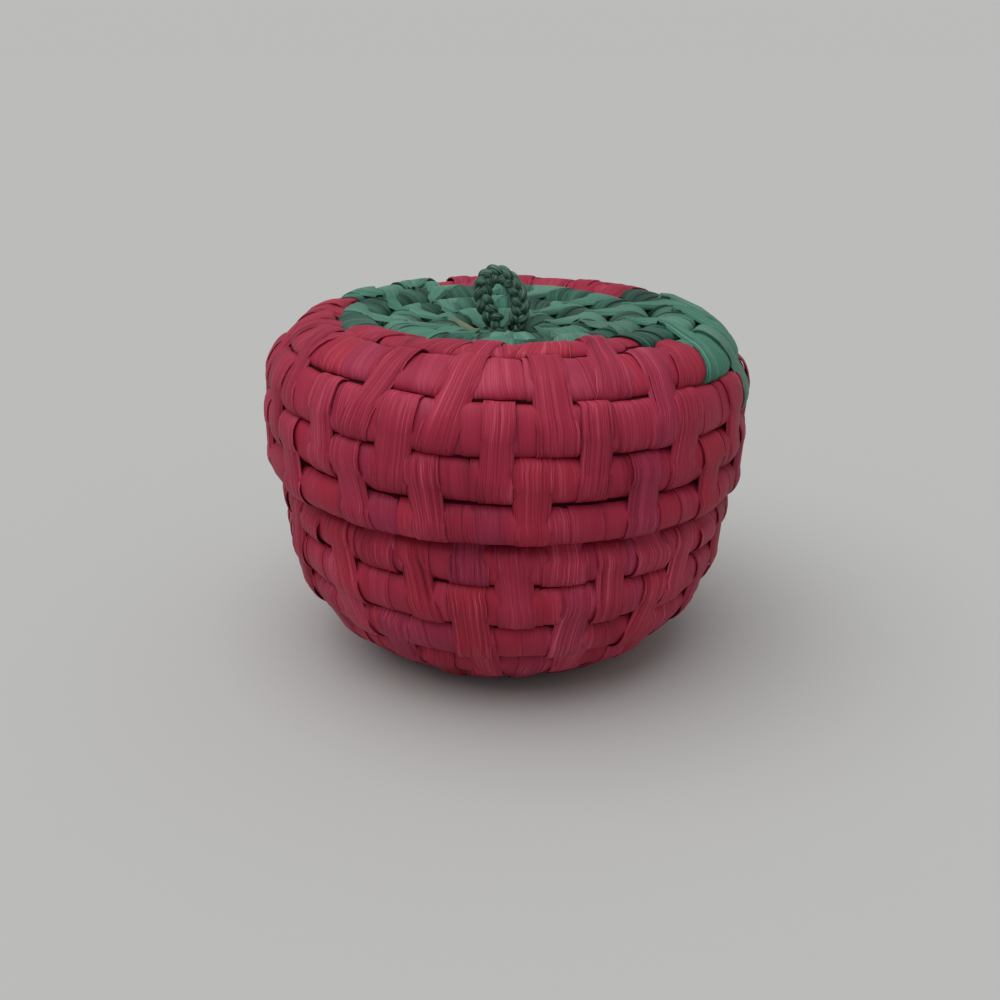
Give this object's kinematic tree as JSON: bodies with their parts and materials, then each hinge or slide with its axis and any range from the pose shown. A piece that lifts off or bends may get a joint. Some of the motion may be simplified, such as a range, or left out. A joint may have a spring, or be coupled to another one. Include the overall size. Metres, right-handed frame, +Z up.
{
  "type": "strawberry basket",
  "caption": "Round lidded trinket basket in the shape of a strawberry, coiled from straw rows wrapped and stitched with dyed palm-leaf strips, with a braided loop on the lid.",
  "frame": {"origin": "middle of the base, on the table", "axes": "+Z up along the axis of the coils, -Y toward the viewer, +X to the viewer's right"},
  "size_m": [0.1004, 0.0999, 0.0812],
  "materials": {
    "red_palm_leaf": "dyed dried palm-leaf strips with a lengthwise grain and a soft sheen",
    "green_palm_leaf": "dyed dried palm-leaf strips with a lengthwise grain and a soft sheen",
    "dark_green_braid": "dyed twisted palm-leaf strands, braided"
  },
  "bodies": {
    "bowl": {"bowl_row_1": "red_palm_leaf", "bowl_row_2": "red_palm_leaf", "bowl_row_3": "red_palm_leaf", "bowl_row_4": "red_palm_leaf", "bowl_row_5": "red_palm_leaf", "bowl_row_6": "red_palm_leaf", "bowl_row_7": "red_palm_leaf", "bowl_row_8": "red_palm_leaf", "bowl_lip": "red_palm_leaf"},
    "lid": {"lid_row_1": "green_palm_leaf", "lid_row_2": "green_palm_leaf", "lid_row_3": "green_palm_leaf", "lid_row_4_1": "green_palm_leaf", "lid_row_4_2": "red_palm_leaf", "lid_row_4_3": "green_palm_leaf", "lid_row_4_4": "red_palm_leaf", "lid_row_5_1": "red_palm_leaf", "sepal_left": "green_palm_leaf", "lid_row_5_2": "red_palm_leaf", "sepal_right": "green_palm_leaf", "lid_row_5_3": "red_palm_leaf", "lid_row_6": "red_palm_leaf", "lid_row_7": "red_palm_leaf", "lid_row_8": "red_palm_leaf", "loop_knot": "dark_green_braid"},
    "loop": {"loop_strand_1": "dark_green_braid", "loop_strand_2": "dark_green_braid", "loop_strand_3": "dark_green_braid"}
  },
  "joints": [
    {"name": "lid_lift", "type": "slide", "parent": "bowl", "child": "lid", "axis": [0, 0, 1], "range_m": [0, 0.06]},
    {"name": "loop_fold", "type": "hinge", "parent": "lid", "child": "loop", "pos_m": [0, 0, 0.06923], "axis": [1, 0, 0], "range_deg": [-60, 60], "stiffness_Nm_per_rad": 0.00002}
  ]
}
